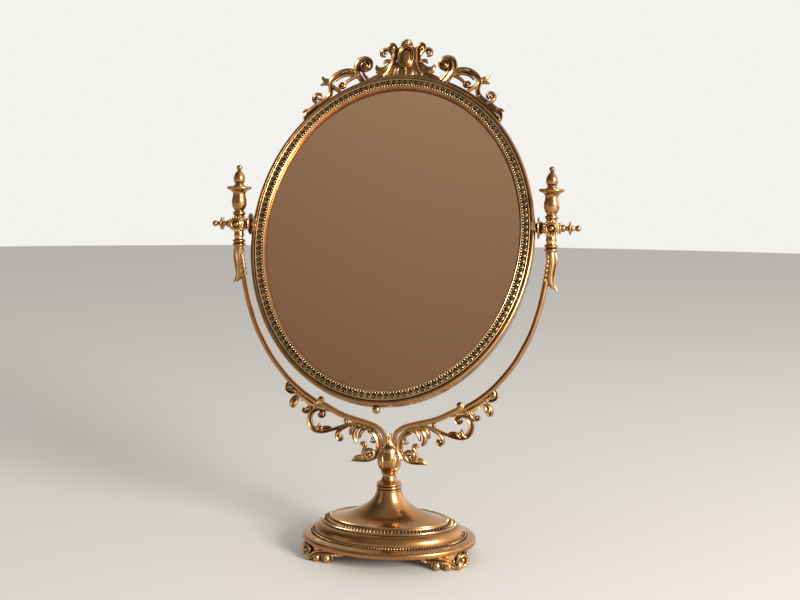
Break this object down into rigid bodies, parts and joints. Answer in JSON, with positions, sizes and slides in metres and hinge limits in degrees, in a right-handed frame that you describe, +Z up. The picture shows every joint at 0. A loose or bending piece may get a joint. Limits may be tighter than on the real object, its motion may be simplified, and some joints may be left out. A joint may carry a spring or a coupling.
{
  "type": "dressing table mirror",
  "caption": "Oval swing mirror for a dressing table: a beaded brass frame with a pierced crest hangs between scrolled candlestick arms above a footed oval base.",
  "frame": {"origin": "on the table top, on the axis of the stem", "axes": "+X to the viewer's right, +Y to the back, +Z up; the mirror faces -Y and is tilted back by 22 degrees at rest"},
  "size_m": [0.372, 0.1538, 0.5238],
  "materials": {
    "aged_brass": "satin cast brass with a brown patina in its hollows",
    "bright_steel": "plain zinc-plated steel",
    "silvered_glass": "polished silvered plate glass",
    "backing_board": "unfinished hardboard",
    "cover_sheet": "matt dark brown paint"
  },
  "bodies": {
    "stand": {"base_plinth": "aged_brass", "base_dome": "aged_brass", "clamp_bar": "bright_steel", "tie_rod_washer": "bright_steel", "tie_rod_nut": "bright_steel", "tie_rod": "bright_steel", "foot_front_left": "aged_brass", "foot_front_right": "aged_brass", "foot_rear_left": "aged_brass", "foot_rear_right": "aged_brass", "foot_screws": "bright_steel", "stem_collar": "aged_brass", "stem_vase": "aged_brass", "left_arm_rod": "aged_brass", "left_scroll_bracket": "aged_brass", "left_arm_leaf": "aged_brass", "left_arm_collar": "aged_brass", "left_pivot_block": "aged_brass", "left_rosette": "aged_brass", "left_candle_cup": "aged_brass", "left_finial": "aged_brass", "left_spacer_washer": "aged_brass", "right_arm_rod": "aged_brass", "right_scroll_bracket": "aged_brass", "right_arm_leaf": "aged_brass", "right_arm_collar": "aged_brass", "right_pivot_block": "aged_brass", "right_rosette": "aged_brass", "right_candle_cup": "aged_brass", "right_finial": "aged_brass", "right_spacer_washer": "aged_brass"},
    "mirror": {"mirror_frame": "aged_brass", "mirror_glass": "silvered_glass", "backing_board": "backing_board", "back_cover": "cover_sheet", "retaining_clips": "bright_steel", "clip_screws": "bright_steel", "crest": "aged_brass", "crest_cabochon": "aged_brass", "crest_screws": "bright_steel", "bottom_ball": "aged_brass"},
    "left_knob": {"left_pivot_screw": "bright_steel", "left_knob": "aged_brass"},
    "right_knob": {"right_pivot_screw": "bright_steel", "right_knob": "aged_brass"}
  },
  "joints": [
    {"name": "mirror_tilt", "type": "hinge", "parent": "stand", "child": "mirror", "pos_m": [0, 0, 0.3275], "axis": [1, 0, 0], "range_deg": [-148, 192]},
    {"name": "left_knob_turn", "type": "hinge", "parent": "stand", "child": "left_knob", "pos_m": [-0.1575, 0, 0.3275], "axis": [-1, 0, 0], "range_deg": [0, 720]},
    {"name": "right_knob_turn", "type": "hinge", "parent": "stand", "child": "right_knob", "pos_m": [0.1575, 0, 0.3275], "axis": [1, 0, 0], "range_deg": [0, 720]}
  ]
}
